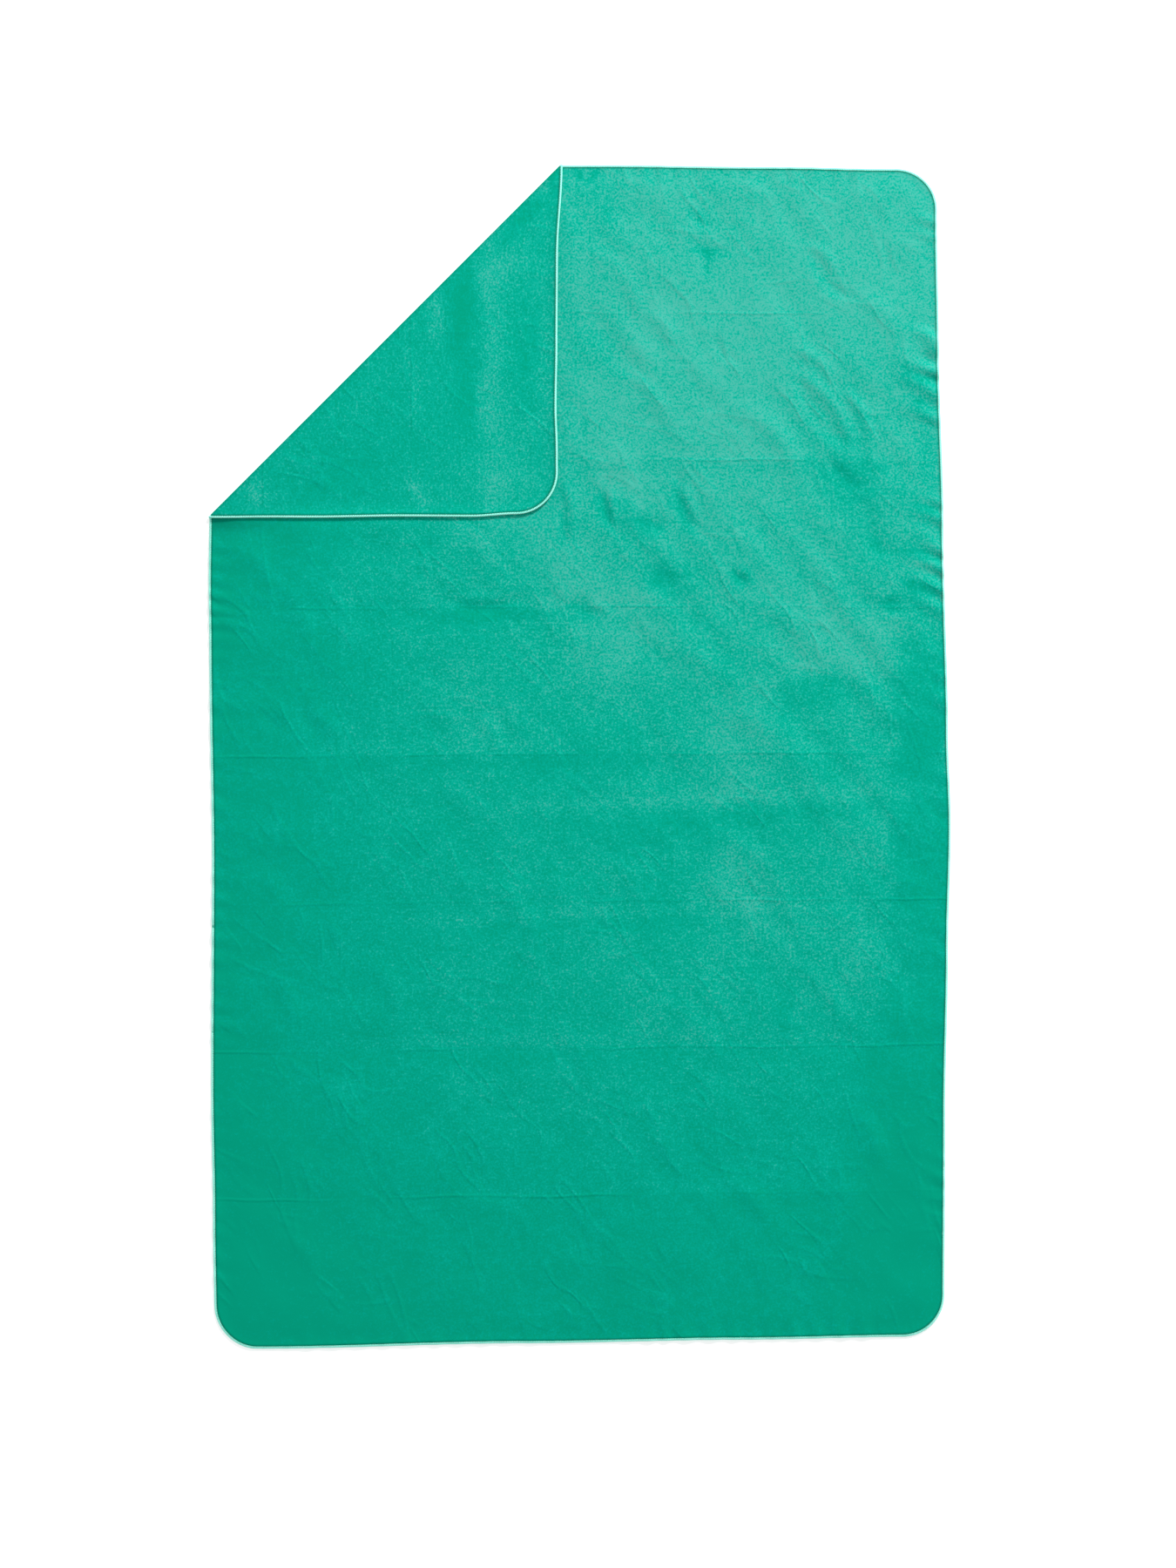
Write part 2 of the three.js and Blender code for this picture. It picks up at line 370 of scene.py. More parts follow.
def layWithLift(cut, lift):  # the same, for points off the middle of the cloth
    step = 0.0002
    middle = lay(cut)
    right = lay(cut + [step, 0]) - middle
    up = lay(cut + [0, step]) - middle
    normal = np.cross(right, up)
    normal /= np.linalg.norm(normal, axis=1)[:, None]
    return middle + normal * lift[:, None]


def foldPoint(distance):  # a point on the hinge line, moved out across the fold
    return (*(hingePoint[:2] + foldOut * distance), foldHeight)


def pointsOf(piece):
    co = np.empty(len(piece.data.vertices) * 3)
    piece.data.vertices.foreach_get("co", co)
    return co.reshape(-1, 3)


def setPoints(piece, co):
    piece.data.vertices.foreach_set("co", np.ascontiguousarray(co, np.float32).ravel())
    piece.data.update()


def giveNumbers(piece, name, values):
    attribute = piece.data.attributes.new(name, "FLOAT", "POINT")
    attribute.data.foreach_set("value", np.ascontiguousarray(values, np.float32))


# The flat cloth, cut as a rounded rectangle

def gridPlaces(end, finePast):  # from -end to end, closer together past a place
    coarse, fine = towel["cell"]
    low = np.linspace(-end, finePast, round((end + finePast) / coarse) + 1)
    high = np.linspace(finePast, end, round((end - finePast) / fine) + 1)
    return np.concatenate([low, high[1:]])


def edgeRow(inset, xs, ys):  # one closed row of points, anticlockwise from the bottom left
    radius = towel["cornerRadius"]
    right, top = halfWidth - radius, halfLength - radius
    arm = radius - inset
    turns = np.linspace(0, math.pi / 2, towel["cornerSteps"] + 1)[1:-1]

    def arc(centreX, centreY, start):
        return [(centreX + arm * math.cos(start + t), centreY + arm * math.sin(start + t)) for t in turns]

    points = [(x, -top - arm) for x in xs] + arc(right, -top, -math.pi / 2)
    points += [(right + arm, y) for y in ys] + arc(right, top, 0)
    points += [(x, top + arm) for x in xs[::-1]] + arc(-right, top, math.pi / 2)
    points += [(-right - arm, y) for y in ys[::-1]] + arc(-right, -top, math.pi)
    return points


def cutCloth(name):
    radius = towel["cornerRadius"]
    xs = gridPlaces(halfWidth - radius, towel["finePast"][0])
    ys = gridPlaces(halfLength - radius, towel["finePast"][1])
    bm = bmesh.new()
    field = [[bm.verts.new((x, y, 0)) for x in xs] for y in ys]
    for j in range(len(ys) - 1):
        for i in range(len(xs) - 1):
            bm.faces.new((field[j][i], field[j][i + 1], field[j + 1][i + 1], field[j + 1][i]))
    outer = None
    for inset in towel["rows"]:
        ring = [bm.verts.new((x, y, 0)) for x, y in edgeRow(inset, xs, ys)]
        if outer:
            for k in range(len(ring)):
                after = (k + 1) % len(ring)
                bm.faces.new((outer[k], outer[after], ring[after], ring[k]))
        outer = ring
    bmesh.ops.remove_doubles(bm, verts=bm.verts, dist=1e-6)
    mesh = bpy.data.meshes.new(name)
    bm.to_mesh(mesh)
    bm.free()
    return mesh


def halfOfCloth(name, whole, isMain):
    bm = bmesh.new()
    bm.from_mesh(whole)
    bmesh.ops.bisect_plane(
        bm, geom=bm.verts[:] + bm.edges[:] + bm.faces[:], dist=1e-6,
        plane_co=(*(foldOut * foldLine), 0), plane_no=(*foldOut, 0),
        clear_outer=isMain, clear_inner=not isMain,
    )
    if not isMain:
        bmesh.ops.translate(bm, verts=bm.verts, vec=(*(foldOut * bendLength), 0))
    # its quarter of the bend, extruded from the edge along the fold
    side = foldLine if isMain else foldLine + bendLength
    step = bendLength / 2 / towel["bendSteps"] * (1 if isMain else -1)
    rim = [e for e in bm.edges if e.is_boundary and all(
        abs(v.co.x * foldOut[0] + v.co.y * foldOut[1] - side) < 1e-6 for v in e.verts)]
    for _ in range(towel["bendSteps"]):
        made = bmesh.ops.extrude_edge_only(bm, edges=rim)["geom"]
        moved = [g for g in made if isinstance(g, bmesh.types.BMVert)]
        bmesh.ops.translate(bm, verts=moved, vec=(*(foldOut * step), 0))
        rim = [g for g in made if isinstance(g, bmesh.types.BMEdge) and all(v in moved for v in g.verts)]
    bmesh.ops.recalc_face_normals(bm, faces=bm.faces)
    if sum(f.normal.z for f in bm.faces) < 0:
        bmesh.ops.reverse_faces(bm, faces=bm.faces)
    mesh = bpy.data.meshes.new(name)
    bm.to_mesh(mesh)
    bm.free()
    piece = bpy.data.objects.new(name, mesh)
    bpy.context.scene.collection.objects.link(piece)
    return piece


def flatInset(cut):  # the inset in the cut cloth, with the bend's own length taken out
    past = cut @ foldOut - foldLine
    back = np.clip(past, 0, bendLength)
    flat = cut - back[:, None] * foldOut
    return insetOf(flat[:, 0], flat[:, 1])


# Tone of the nap where it is brushed up or down, with painted light and shade among it: middle x and y,
# length, direction, width, tone, in mm
napAndPaintedLightOnMain = [
    # the first three: lighter towards the upper right and darker along the left side and the bottom, partly
    # nap and partly painted light
    (-400, 0, 4000, 90, 170, -0.33), (0, -645, 4000, 0, 240, -0.32), (200, 470, 720, 90, 330, 0.42),
    (370, 610, 160, -45, 90, 0.16), (374, -420, 460, 84, 70, -0.34), (374, -110, 220, 88, 34, -0.16),
    (372, 60, 200, 88, 30, -0.26), (300, 110, 160, -40, 60, 0.08), (300, 310, 130, -50, 40, -0.20),
    (40, 150, 200, 80, 60, 0.18), (60, 420, 240, 80, 50, 0.10), (-60, 250, 160, -40, 36, 0.14),
    (-110, 40, 130, -60, 30, 0.10), (60, 250, 70, -60, 20, -0.14), (85, 200, 110, -30, 30, -0.12),
    (-80, -60, 200, -35, 40, 0.03), (240, -190, 190, -30, 50, 0.06), (-210, -10, 110, -50, 34, 0.06),
    (-300, 235, 110, 0, 24, -0.10), (-385, 140, 110, 88, 20, -0.16), (-385, -250, 200, 88, 18, -0.10),
    # these ten lines: mostly darker streaks in the hollows of the wrinkles and the edge ripples, which are
    # painted shade, with painted highlight on the lighter strips between the ripples
    (-102, 150, 80, 0, 9, -0.22), (153, 550, 40, -5, 4.5, -0.42), (148, 540, 28, -80, 5, -0.46),
    (141, 586, 26, -50, 8, -0.30), (4, 634, 10, -5, 6, -0.4), (20, 633, 12, -60, 6, -0.4),
    (81, 251, 34, -25, 9, -0.34), (92, 190, 40, -40, 14, -0.26), (178, 193, 22, -42, 8, -0.3),
    (342, 161, 20, -80, 9, -0.4), (297, 300, 46, -30, 12, -0.2), (325, 232, 44, -55, 13, -0.26),
    (9, 158, 30, -40, 9, -0.26), (-160, 228, 20, -30, 10, -0.16), (33, 270, 50, -80, 7, -0.34),
    (117, 269, 56, -68, 7, -0.38), (273, 521, 50, -56, 5, -0.22), (314, 365, 45, -75, 6, -0.22),
    (23, 444, 60, -60, 22, -0.18), (54, 298, 80, -30, 26, 0.14), (374, 415, 40, -20, 10, -0.34),
    (380, 385, 34, -60, 10, -0.26), (376, 400, 26, -20, 5, 0.2), (378, 270, 30, -10, 7, -0.3),
    (372, 222, 40, -12, 7, -0.3), (378, 205, 44, -12, 6, 0.2), (370, 184, 40, -12, 7, -0.3),
    (384, 330, 60, 88, 8, -0.2),
    (-90, -20, 640, 85, 150, -0.06), (174, 14, 130, 80, 48, 0.13), (170, -155, 140, 85, 44, 0.11),
    (312, -104, 70, -40, 24, 0.10), (318, -234, 120, 70, 40, 0.10), (75, -285, 60, 90, 22, 0.07),
    (290, 118, 200, 10, 34, 0.12), (262, 62, 110, 0, 22, -0.15), (0, -14, 150, 5, 36, -0.10),
    (110, -90, 260, 2, 24, -0.12), (85, -160, 80, 88, 34, -0.09), (222, -290, 60, 85, 10, -0.12),
    (66, 492, 60, 60, 16, -0.12), (36, 585, 60, -60, 16, -0.12), (53, 413, 14, 0, 8, -0.22),
    # beside the creases, painted highlight above and painted shade below
    (160, -48, 480, 2.5, 8, 0.14), (160, -67, 480, 2.5, 10, -0.14), (-20, -8, 620, 0, 8, -0.10),
    (-20, 7, 620, 0, 7, 0.06), (10, -176, 420, 2, 7, 0.12), (10, -190, 420, 2, 9, -0.12),
    (60, 172, 440, 0, 9, 0.10), (-60, 152, 300, 0, 8, -0.10), (-60, -316, 680, 0, 8, 0.10),
    (-60, -330, 680, 0, 9, -0.10), (160, -478, 400, 0, 8, 0.06), (160, -490, 400, 0, 9, -0.06),
    (190, 330, 380, 0, 7, 0.10), (190, 316, 380, 0, 7, -0.10), (120, 492, 300, 0, 8, 0.10),
]
napOnFlap = [  # here x and y are where the folded corner lies
    (-260, 330, 420, 45, 90, -0.14), (-125, 488, 90, 88, 13, -0.34), (-120, 400, 120, 88, 14, -0.16),
    (-92, 420, 240, 90, 15, 0.26), (-84, 535, 60, 60, 18, 0.20), (-58, 584, 100, 45, 9, -0.26),
    (-34, 621, 26, 60, 8, 0.30), (-26, 636, 18, 90, 5, -0.50), (-153, 477, 60, 90, 9, 0.22),
    (-176, 392, 54, 85, 8, 0.20), (-348, 285, 36, -60, 10, 0.36), (-172, 287, 36, -50, 8, 0.34),
    (-52, 440, 90, 84, 12, -0.16), (-32, 430, 240, 90, 7, 0.12), (-70, 300, 90, 80, 22, 0.14),
    (-128, 262, 60, 0, 8, -0.16), (-250, 300, 120, 30, 24, -0.08), (-230, 380, 90, 50, 14, 0.10),
]


patchOutline = {  # how a patch of tone ends, nap and painted light alike
    "wander": (0.022, 0.4, 40),  # size in metres, share of the patch's width, up to this width in mm
    "clear": 1.8,  # clearer edges on middling patches: from and to this width and up to this length
    "middling": (20, 70, 300),
}


def patchTone(x, y, patches):
    total = np.zeros_like(x)
    size, share, widest = patchOutline["wander"]
    narrow, wide, longest = patchOutline["middling"]
    swayX, swayY = hills(x, y, size, 31), hills(x, y, size, 32)
    for middleX, middleY, length, direction, width, tone in patches:
        angle = math.radians(direction)
        sway = min(width, widest) / 1000 * share
        dx, dy = x - middleX / 1000 + swayX * sway, y - middleY / 1000 + swayY * sway
        along = (dx * math.cos(angle) + dy * math.sin(angle)) / (length / 2000)
        across = (dy * math.cos(angle) - dx * math.sin(angle)) / (width / 1000)
        clear = patchOutline["clear"] if narrow <= width <= wide and length <= longest else 1
        total += tone * np.exp(-(across ** 2 + along ** 2) ** clear)
    return total


def layCloth(piece, patches, underPatches):
    cut = pointsOf(piece)[:, :2]
    laid = lay(cut)
    setPoints(piece, laid)
    inset = flatInset(cut)
    start, over = towel["thickens"]
    thick = towel["pressed"] + (1 - towel["pressed"]) * smooth((inset - start) / over)
    group = piece.vertex_groups.new(name="fullThickness")
    for index, share in enumerate(thick):
        group.add([index], float(share), "REPLACE")
    solidify = piece.modifiers.new("clothThickness", "SOLIDIFY")
    solidify.thickness = clothThickness
    solidify.offset = 0
    solidify.vertex_group = group.name
    solidify.use_rim = True
    solidify.material_offset = 1  # the under face has its own nap
    giveNumbers(piece, "napAndPaintedLight", patchTone(cut[:, 0], cut[:, 1], patches))
    giveNumbers(piece, "underNap", patchTone(laid[:, 0], laid[:, 1], underPatches))
    past = cut @ foldOut - foldLine
    # painted shade along the bend of the fold
    dark, place, reach = towel["bendShade"]
    bent = dark * np.exp(-((past / bendLength - place) / reach) ** 4)
    # painted shade in the valley beside the threads
    place, reach = towel["valleyShade"]
    valleyShade = np.exp(-((inset - place) / reach) ** 2)
    # painted shadow below the left end of the fold, on the main cloth only
    dark, placeX, reachX, placeY, reachY = towel["foldEndShade"]
    foldEnd = np.exp(-((cut[:, 0] - placeX) / reachX) ** 2 - ((cut[:, 1] - placeY) / reachY) ** 2)
    foldEnd = np.where(past < 0, foldEnd * dark, 0)
    # mask of the painted shade: the valley beside the threads, the fold's left end and the bend
    giveNumbers(piece, "paintedShadeMask", np.maximum(np.maximum(valleyShade, foldEnd), bent))
    cutPlace = piece.data.attributes.new("cutPlace", "FLOAT_VECTOR", "POINT")
    cutPlace.data.foreach_set("vector", np.column_stack([cut, np.zeros(len(cut))]).ravel())
    bpy.ops.object.select_all(action="DESELECT")
    piece.select_set(True)
    bpy.context.view_layer.objects.active = piece
    bpy.ops.object.shade_smooth()


# The sewn edge: a three thread overlock, one stitch of each thread modelled and repeated

stitching = {
    "pitch": 0.0015,
    "mergeWithin": 0.00006,  # where one stitch runs into the next
    "threadSides": 6,
    "straightStep": 0.004,  # between points of the path, and steps round a corner
    "arcSteps": 24,
    "turnRoom": 0.003,  # over which the threads turn to run round the fold
    "looperSize": (0.84, 0.36),  # thread pressed flat: width and height, in mm
    "needleSize": (0.30, 0.28),
    # one stitch: share of the pitch, inset from the cut edge in mm, height off the middle in mm
    "upperLooper": [(0, -0.08, -0.06), (0.14, 0.16, 0.36), (0.38, 1.35, 0.42), (0.5, 1.95, 0.32),
                    (0.62, 1.35, 0.42), (0.86, 0.16, 0.36), (1, -0.08, -0.06)],
    "lowerLooper": [(0, 1.95, -0.32), (0.12, 1.35, -0.42), (0.36, 0.16, -0.36), (0.5, -0.08, 0.06),
                    (0.64, 0.16, -0.36), (0.88, 1.35, -0.42), (1, 1.95, -0.32)],
    "needle": [(0, 1.78, -0.34), (0.1, 1.80, 0.34), (0.3, 1.82, 0.60), (0.7, 1.78, 0.60),
               (0.9, 1.76, 0.34), (1, 1.78, -0.34)],
}


def edgePath():  # along the cut edge: points, the way in from it, for the main cloth and the corner
    radius = towel["cornerRadius"]
    right, top = halfWidth - radius, halfLength - radius
    across = foldLine * math.sqrt(2)
    leftEnd = np.array([-halfWidth, across - halfWidth])
    topEnd = np.array([halfLength - across, halfLength])
    inLeft, inTop = np.array([1.0, 1.0]), np.array([-1.0, -1.0])
    toRight, down = np.array([1.0, 0.0]), np.array([0.0, -1.0])
    room, steps = stitching["turnRoom"], stitching["arcSteps"]

    def straight(a, b, way):
        count = max(2, int(np.linalg.norm(b - a) / stitching["straightStep"]))
        return [(a + (b - a) * k / count, way) for k in range(count + 1)]

    def arc(centreX, centreY, start):
        made = []
        for k in range(steps + 1):
            angle = start + math.pi / 2 * k / steps
            way = np.array([math.cos(angle), math.sin(angle)])
            made.append((np.array([centreX, centreY]) + way * radius, -way))
        return made

    half = foldOut * bendLength / 2
    main = [(leftEnd + half, inLeft), (leftEnd, inLeft)]
    main += straight(leftEnd - [0, room], np.array([-halfWidth, -top]), toRight)
    main += arc(-right, -top, math.pi)[1:]
    main += arc(right, -top, 1.5 * math.pi)
    main += arc(right, top, 0)
    main += straight(np.array([right, halfLength]), topEnd + [room, 0], down)[1:]
    main += [(topEnd, inTop), (topEnd + half, inTop)]
    whole = foldOut * bendLength
    corner = [(topEnd + half, inTop), (topEnd + whole, inTop)]
    corner += straight(topEnd + whole - [room, 0], np.array([-right, halfLength]) + whole, down)
    corner += [(point + whole, way) for point, way in arc(-right, top, math.pi / 2)[1:]]
    corner += straight(np.array([-halfWidth, top]) + whole, leftEnd + whole + [0, room], toRight)[1:]
    corner += [(leftEnd + whole, inLeft), (leftEnd + half, inLeft)]
    return main, corner


def threadProfile(size):
    bpy.ops.mesh.primitive_circle_add(vertices=stitching["threadSides"], radius=0.0005)  # 1 mm wide
    profile = bpy.context.object
    profile.scale = (size[0], size[1], 1)
    bpy.ops.object.transform_apply(location=False, rotation=False, scale=True)
    bpy.ops.object.convert(target="CURVE")
    return profile


def sewThread(name, stitch, size, path):
    points = np.array([point for point, way in path])
    ways = np.array([way for point, way in path])
    along = np.concatenate([[0], np.cumsum(np.linalg.norm(np.diff(points, axis=0), axis=1))])
    count = round(along[-1] / stitching["pitch"])
    pitch = along[-1] / count

    bpy.ops.object.select_all(action="DESELECT")
    profile = threadProfile(size)
    line = bpy.data.curves.new(name, "CURVE")
    line.dimensions = "3D"
    line.twist_mode = "Z_UP"
    spline = line.splines.new("POLY")
    spline.points.add(len(stitch) - 1)
    for point, (share, inset, height) in zip(spline.points, stitch):
        point.co = (share * pitch, -inset / 1000, height / 1000, 1)
    line.bevel_mode = "OBJECT"
    line.bevel_object = profile
    thread = bpy.data.objects.new(name, line)
    bpy.context.scene.collection.objects.link(thread)
    bpy.ops.object.select_all(action="DESELECT")
    thread.select_set(True)
    bpy.context.view_layer.objects.active = thread
    bpy.ops.object.convert(target="MESH")
    bpy.data.objects.remove(profile)

    repeat = thread.modifiers.new("stitches", "ARRAY")
    repeat.use_relative_offset = False
    repeat.use_constant_offset = True
    repeat.constant_offset_displace = (pitch, 0, 0)
    repeat.count = count
    repeat.use_merge_vertices = True
    repeat.merge_threshold = stitching["mergeWithin"]
    bpy.ops.object.modifier_apply(modifier=repeat.name)
    bpy.ops.object.mode_set(mode="EDIT")
    bpy.ops.mesh.select_all(action="SELECT")
    bpy.ops.mesh.fill_holes(sides=8)
    bpy.ops.mesh.normals_make_consistent(inside=False)
    bpy.ops.object.mode_set(mode="OBJECT")

    co = pointsOf(thread)
    place = np.clip(co[:, 0], 0, along[-1])
    base = np.column_stack([np.interp(place, along, points[:, k]) for k in (0, 1)])
    way = np.column_stack([np.interp(place, along, ways[:, k]) for k in (0, 1)])
    cut = base - way * co[:, 1][:, None]
    setPoints(thread, layWithLift(cut, co[:, 2]))
    bpy.ops.object.shade_smooth()
    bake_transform(thread)
    print(name, count, "stitches,", len(thread.data.polygons), "faces")
    return thread


clothFinish = {
    # colour of the nap from lying flat to brushed up: (tone, colour)
    "tones": [(0.0, (0.0003, 0.310, 0.190)), (0.35, (0.0003, 0.350, 0.245)),
              (0.55, (0.0012, 0.388, 0.283)), (0.72, (0.018, 0.398, 0.300)), (1.0, (0.062, 0.422, 0.335))],
    "roughness": 0.95,
    "specular": 0.02,
    "sheen": (0.15, 0.45),  # weight and roughness
    "sheenTint": (0.08, 0.9, 0.75, 1),
    # colour of the painted shade, and how far the most shaded places go towards it
    "paintedShade": (0.0006, 0.14, 0.085, 1),
    "paintedShadeStrength": 0.85,
    "plain": 0.45,  # tone of the cloth where no patch is brushed
    "flatShare": (-0.35, 0.10, 0.55),  # tone where the tufts lie flat, where they stand, share left flat
    "tuftScale": 300,  # layers finer than this are the tufts
    # uneven nap, from patches down to single tufts: (scale per metre, detail, amount, height in mm)
    "uneven": [(9, 5, 0.38, 0), (34, 4, 0.42, 0.08), (120, 3, 0.80, 0.08), (400, 2, 2.4, 0.04),
               (1300, 2, 0.9, 0.02)],
    # fine sharp wrinkles in the nap: turn in degrees, stretch, scale per metre, line, height in mm, tone of
    # the painted highlight along them
    "lines": [(-52, 3, 40, 0.08, 0.26, 0.06), (-74, 3.5, 34, 0.08, 0.22, 0.05),
              (-12, 3, 30, 0.08, 0.16, 0.05)],
    "linesWhere": (0.7, 0.52, 0.66),  # scale of the patches that have them, and where those begin
    "creaseLine": (0.0026, 0.24, -0.07),  # half width, height in mm, tone of the painted shade along it
    "creaseWander": (12, 0.007),  # scale per metre and how far, in metres
    "creaseWhere": (7, 0.38, 0.62),
    "creaseAlong": 0.35,  # share for the creases along the length
}


def addNode(tree, kind, **values):
    node = tree.nodes.new(kind)
    for name, value in values.items():
        setattr(node, name, value)
    return node


def noiseOn(tree, place, scale, detail, roughness=0.55):
    noise = addNode(tree, "ShaderNodeTexNoise")
    noise.inputs["Scale"].default_value = scale
    noise.inputs["Detail"].default_value = detail
    noise.inputs["Roughness"].default_value = roughness
    tree.links.new(place, noise.inputs["Vector"])
    return noise.outputs["Fac"]


def sumOf(tree, first, second, amount):  # first + amount * (second - a half)
    scaled = addNode(tree, "ShaderNodeMath", operation="MULTIPLY_ADD")
    tree.links.new(plus(tree, second, -0.5), scaled.inputs[0])
    scaled.inputs[1].default_value = amount
    scaled.inputs[2].default_value = 0
    if first:
        tree.links.new(first, scaled.inputs[2])
    return scaled.outputs[0]


def plus(tree, value, added, after=None):
    node = addNode(tree, "ShaderNodeMath", operation="ADD")
    tree.links.new(value, node.inputs[0])
    node.inputs[1].default_value = added
    if not after:
        return node.outputs[0]
    last = addNode(tree, "ShaderNodeMath", operation=after)
    tree.links.new(node.outputs[0], last.inputs[0])
    return last.outputs[0]


def times(tree, first, second):
    node = addNode(tree, "ShaderNodeMath", operation="MULTIPLY")
    tree.links.new(first, node.inputs[0])
    tree.links.new(second, node.inputs[1])
    return node.outputs[0]


def rangeOf(tree, value, low, high, least=0):  # least at low and 1 at high, with soft ends
    node = addNode(tree, "ShaderNodeMapRange", interpolation_type="SMOOTHSTEP")
    node.inputs["From Min"].default_value = low
    node.inputs["From Max"].default_value = high
    node.inputs["To Min"].default_value = least
    tree.links.new(value, node.inputs["Value"])
    return node.outputs["Result"]


def brushedSuede(name, napName):
    material = bpy.data.materials.new(name)
    material.use_nodes = True
    tree = material.node_tree
    shader = tree.nodes["Principled BSDF"]
    shader.inputs["Roughness"].default_value = clothFinish["roughness"]
    shader.inputs["Specular IOR Level"].default_value = clothFinish["specular"]
    shader.inputs["Sheen Weight"].default_value = clothFinish["sheen"][0]
    shader.inputs["Sheen Roughness"].default_value = clothFinish["sheen"][1]
    shader.inputs["Sheen Tint"].default_value = clothFinish["sheenTint"]
    place = addNode(tree, "ShaderNodeAttribute", attribute_name="cutPlace").outputs["Vector"]
    napAndPaintedLight = addNode(tree, "ShaderNodeAttribute", attribute_name=napName).outputs["Fac"]
    tone = plus(tree, napAndPaintedLight, clothFinish["plain"])
    height = None
    upright = rangeOf(tree, napAndPaintedLight, *clothFinish["flatShare"])
    for scale, detail, amount, high in clothFinish["uneven"]:
        layer = noiseOn(tree, place, scale, detail, 0.6)
        height = sumOf(tree, height, layer, high)
        if scale > clothFinish["tuftScale"]:
            layer = plus(tree, times(tree, plus(tree, layer, -0.5), upright), 0.5)
        tone = sumOf(tree, tone, layer, amount)
    patchScale, low, high = clothFinish["linesWhere"]
    for turn, stretch, scale, line, rise, amount in clothFinish["lines"]:
        drawn = addNode(tree, "ShaderNodeMapping", vector_type="TEXTURE")
        drawn.inputs["Rotation"].default_value[2] = math.radians(turn)
        drawn.inputs["Scale"].default_value[0] = stretch
        tree.links.new(place, drawn.inputs["Vector"])
        away = plus(tree, noiseOn(tree, drawn.outputs["Vector"], scale, 1), -0.5, "ABSOLUTE")
        here = rangeOf(tree, noiseOn(tree, drawn.outputs["Vector"], scale * patchScale, 1), low, high)
        wrinkle = times(tree, rangeOf(tree, away, line, 0), here)
        height = sumOf(tree, height, wrinkle, rise)
        # painted highlight along each wrinkle
        tone = sumOf(tree, tone, wrinkle, amount)
    # creases from how it was packed, across and along, bumped and darkened with painted shade
    sides = addNode(tree, "ShaderNodeSeparateXYZ")
    tree.links.new(place, sides.inputs["Vector"])
    line, rise, amount = clothFinish["creaseLine"]
    scale, far = clothFinish["creaseWander"]
    wander = noiseOn(tree, place, scale, 2)
    scale, low, high = clothFinish["creaseWhere"]
    strong = rangeOf(tree, noiseOn(tree, place, scale, 2), low, high)
    across = ("Y", halfLength, 2 * halfLength / creases["count"], 1)
    lengthways = ("X", halfWidth, halfWidth / 2, clothFinish["creaseAlong"])
    for side, half, spacing, share in (across, lengthways):
        moved = sumOf(tree, sides.outputs[side], wander, far)
        away = addNode(tree, "ShaderNodeMath", operation="PINGPONG")
        tree.links.new(plus(tree, moved, half), away.inputs[0])
        away.inputs[1].default_value = spacing / 2
        crease = times(tree, rangeOf(tree, away.outputs[0], line, 0), strong)
        height = sumOf(tree, height, crease, rise * share)
        tone = sumOf(tree, tone, crease, amount * share)

    ramp = addNode(tree, "ShaderNodeValToRGB")
    stops = ramp.color_ramp.elements
    stops.remove(stops[1])  # the ramp comes with a white one
    for number, (tonePlace, colour) in enumerate(clothFinish["tones"]):
        stop = stops[0] if number == 0 else stops.new(tonePlace)
        stop.position = tonePlace
        stop.color = (*colour, 1)
    tree.links.new(tone, ramp.inputs["Fac"])
    # painted shade: the cloth's colour is taken towards the shade colour where the mask says
    paintedShade = addNode(tree, "ShaderNodeMix", data_type="RGBA")
    shade = addNode(tree, "ShaderNodeMath", operation="MULTIPLY")
    paintedShadeMask = addNode(tree, "ShaderNodeAttribute", attribute_name="paintedShadeMask")
    tree.links.new(paintedShadeMask.outputs["Fac"], shade.inputs[0])
    shade.inputs[1].default_value = clothFinish["paintedShadeStrength"]
    tree.links.new(shade.outputs[0], paintedShade.inputs["Factor"])
    tree.links.new(ramp.outputs["Color"], paintedShade.inputs["A"])
    paintedShade.inputs["B"].default_value = clothFinish["paintedShade"]
    tree.links.new(paintedShade.outputs["Result"], shader.inputs["Base Color"])

    bump = addNode(tree, "ShaderNodeBump")
    bump.inputs["Strength"].default_value = 1
    bump.inputs["Distance"].default_value = 0.001  # the heights are in mm
    tree.links.new(height, bump.inputs["Height"])
    tree.links.new(bump.outputs["Normal"], shader.inputs["Normal"])
    return material


threadFinish = {
    "roughness": 0.55,
    "specular": 0.35,
    "sheen": (0.3, 0.4),  # weight and roughness
    "runs": 60,  # slow change of colour along the edge, per metre
    "twist": (4200, 0.6),  # fibres: scale per metre, share of the colour
    "twistHeight": 0.0001,
    "colours": ((0.27, 0.88, 0.72, 1), (0.37, 0.95, 0.82, 1)),
}


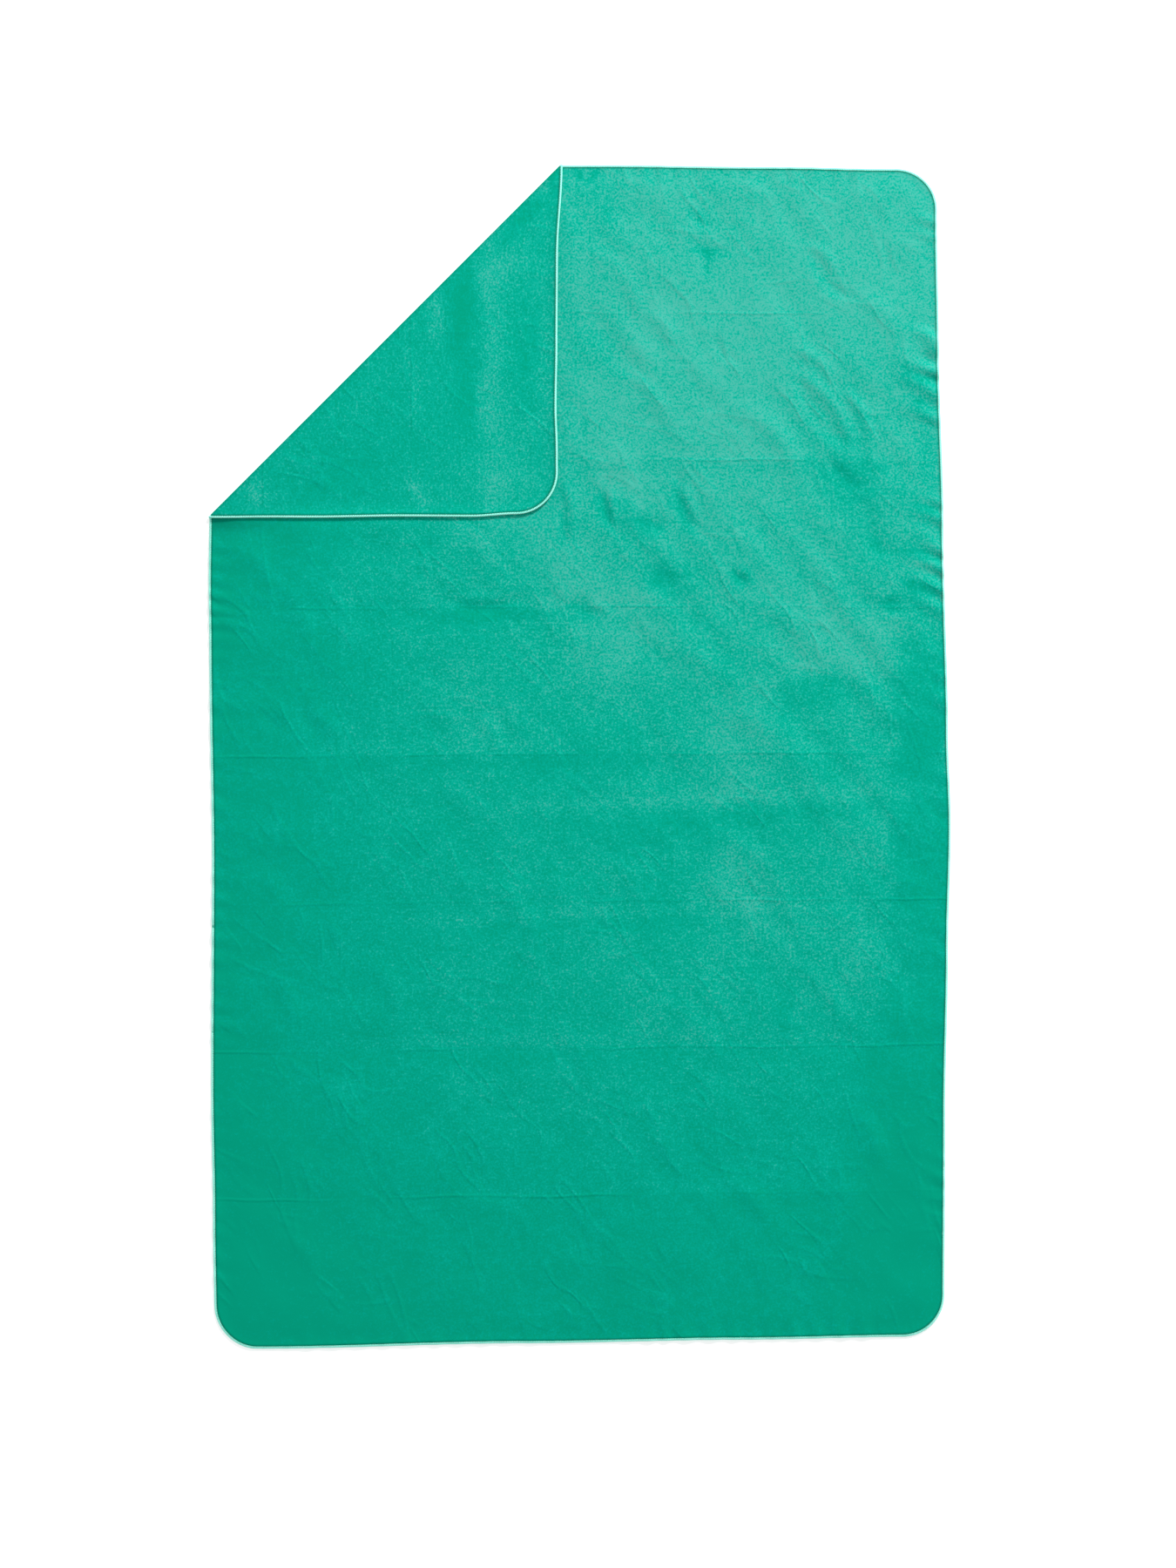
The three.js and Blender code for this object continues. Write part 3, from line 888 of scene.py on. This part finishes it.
def mintThread():
    material = bpy.data.materials.new("mintThread")
    material.use_nodes = True
    tree = material.node_tree
    shader = tree.nodes["Principled BSDF"]
    shader.inputs["Roughness"].default_value = threadFinish["roughness"]
    shader.inputs["Specular IOR Level"].default_value = threadFinish["specular"]
    shader.inputs["Sheen Weight"].default_value = threadFinish["sheen"][0]
    shader.inputs["Sheen Roughness"].default_value = threadFinish["sheen"][1]
    place = addNode(tree, "ShaderNodeTexCoord").outputs["Object"]
    scale, share = threadFinish["twist"]
    runs = noiseOn(tree, place, threadFinish["runs"], 3)
    twist = noiseOn(tree, place, scale, 2)
    ramp = addNode(tree, "ShaderNodeValToRGB")
    for stop, position, colour in zip(ramp.color_ramp.elements, (0.3, 0.7), threadFinish["colours"]):
        stop.position = position
        stop.color = colour
    tree.links.new(sumOf(tree, runs, twist, share), ramp.inputs["Fac"])
    tree.links.new(ramp.outputs["Color"], shader.inputs["Base Color"])
    bump = addNode(tree, "ShaderNodeBump")
    bump.inputs["Strength"].default_value = 0.5
    bump.inputs["Distance"].default_value = threadFinish["twistHeight"]
    tree.links.new(twist, bump.inputs["Height"])
    tree.links.new(bump.outputs["Normal"], shader.inputs["Normal"])
    return material


outBend = foldPoint(2 * bendRadius)
inBend = foldPoint(0)
suede = brushedSuede("brushedSuede", "napAndPaintedLight")
underSuede = brushedSuede("brushedSuedeUnder", "underNap")
mint = mintThread()

whole = cutCloth("wholeCloth")
print("cloth cut,", len(whole.polygons), "faces")
mainCloth = halfOfCloth("towel_cloth", whole, True)
cornerCloth = halfOfCloth("folded_corner_cloth", whole, False)
bpy.data.meshes.remove(whole)
layCloth(mainCloth, napAndPaintedLightOnMain, napAndPaintedLightOnMain)
layCloth(cornerCloth, napAndPaintedLightOnMain, napOnFlap)
print("cloth laid and its corner folded over")

for piece, start, end in ((mainCloth, inBend, outBend), (cornerCloth, outBend, inBend)):
    piece.data.materials.append(suede)
    piece.data.materials.append(underSuede)
    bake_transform(piece)
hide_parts("main_cloth", "fold_bend_cloth")
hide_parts("corner_cloth")

mainPath, cornerPath = edgePath()
mainSewing = ("towel", mainPath, inBend, outBend)
cornerSewing = ("folded_corner", cornerPath, outBend, inBend)
threadNodes = {"upperLooper": "upper_looper_thread", "lowerLooper": "lower_looper_thread",
               "needle": "needle_thread"}
for part, path, start, end in (mainSewing, cornerSewing):
    for thread, nodeName in threadNodes.items():
        size = stitching["needleSize" if thread == "needle" else "looperSize"]
        made = sewThread(f"{part}_{nodeName}", stitching[thread], size, path)
        made.data.materials.append(mint)
        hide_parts(nodeName if part == "towel" else "corner_" + nodeName)

print("edge sewn")

# Floor, light and camera
studio = {
    "fill": 0.62,
    "keyPlace": (2.6, 4.9, 2.3),  # low and far off, so that the cloth's relief shows
    "keySize": 1.1,
    "keyPower": 500,
    "floorSize": 24,
    "floorDrop": 0.0002,  # under the towel
    "floorColour": (0.97, 0.97, 0.97, 1),
    "floorRoughness": 0.9,
    "floorSpecular": 0.1,
    "floorGlow": 0.32,  # keeps the pale floor even
    "cameraOver": (0.0132, -0.0306),
    "seenHeight": 1.7128,
    "lens": 85,
}

bpy.ops.object.select_all(action="DESELECT")
bpy.ops.mesh.primitive_plane_add(size=studio["floorSize"], location=(0, 0, -studio["floorDrop"]))
floor = bpy.context.object
floor.name = "floor"
paint = bpy.data.materials.new("whiteFloor")
paint.use_nodes = True
floorShader = paint.node_tree.nodes["Principled BSDF"]
floorShader.inputs["Base Color"].default_value = studio["floorColour"]
floorShader.inputs["Roughness"].default_value = studio["floorRoughness"]
floorShader.inputs["Specular IOR Level"].default_value = studio["floorSpecular"]
floorShader.inputs["Emission Color"].default_value = (1, 1, 1, 1)
floorShader.inputs["Emission Strength"].default_value = studio["floorGlow"]
floor.data.materials.append(paint)

world = bpy.data.worlds.new("studio")
world.use_nodes = True
background = world.node_tree.nodes["Background"]
background.inputs["Color"].default_value = (1, 1, 1, 1)
background.inputs["Strength"].default_value = studio["fill"]
bpy.context.scene.world = world

bpy.ops.object.light_add(type="AREA", location=studio["keyPlace"])
key = bpy.context.object
key.data.shape = "DISK"
key.data.size = studio["keySize"]
key.data.energy = studio["keyPower"]
aim = -np.array(studio["keyPlace"])
key.rotation_euler = (math.atan2(math.hypot(aim[0], aim[1]), -aim[2]), 0, math.atan2(-aim[0], aim[1]))

bpy.ops.object.camera_add()
camera = bpy.context.object
camera.data.lens = studio["lens"]
halfAngle = math.atan(camera.data.sensor_width / 2 / studio["lens"])
camera.location = (*studio["cameraOver"], studio["seenHeight"] / 2 / math.tan(halfAngle))
camera.rotation_euler = (0, 0, 0)
bpy.context.scene.camera = camera
bpy.context.scene.view_settings.view_transform = "Standard"
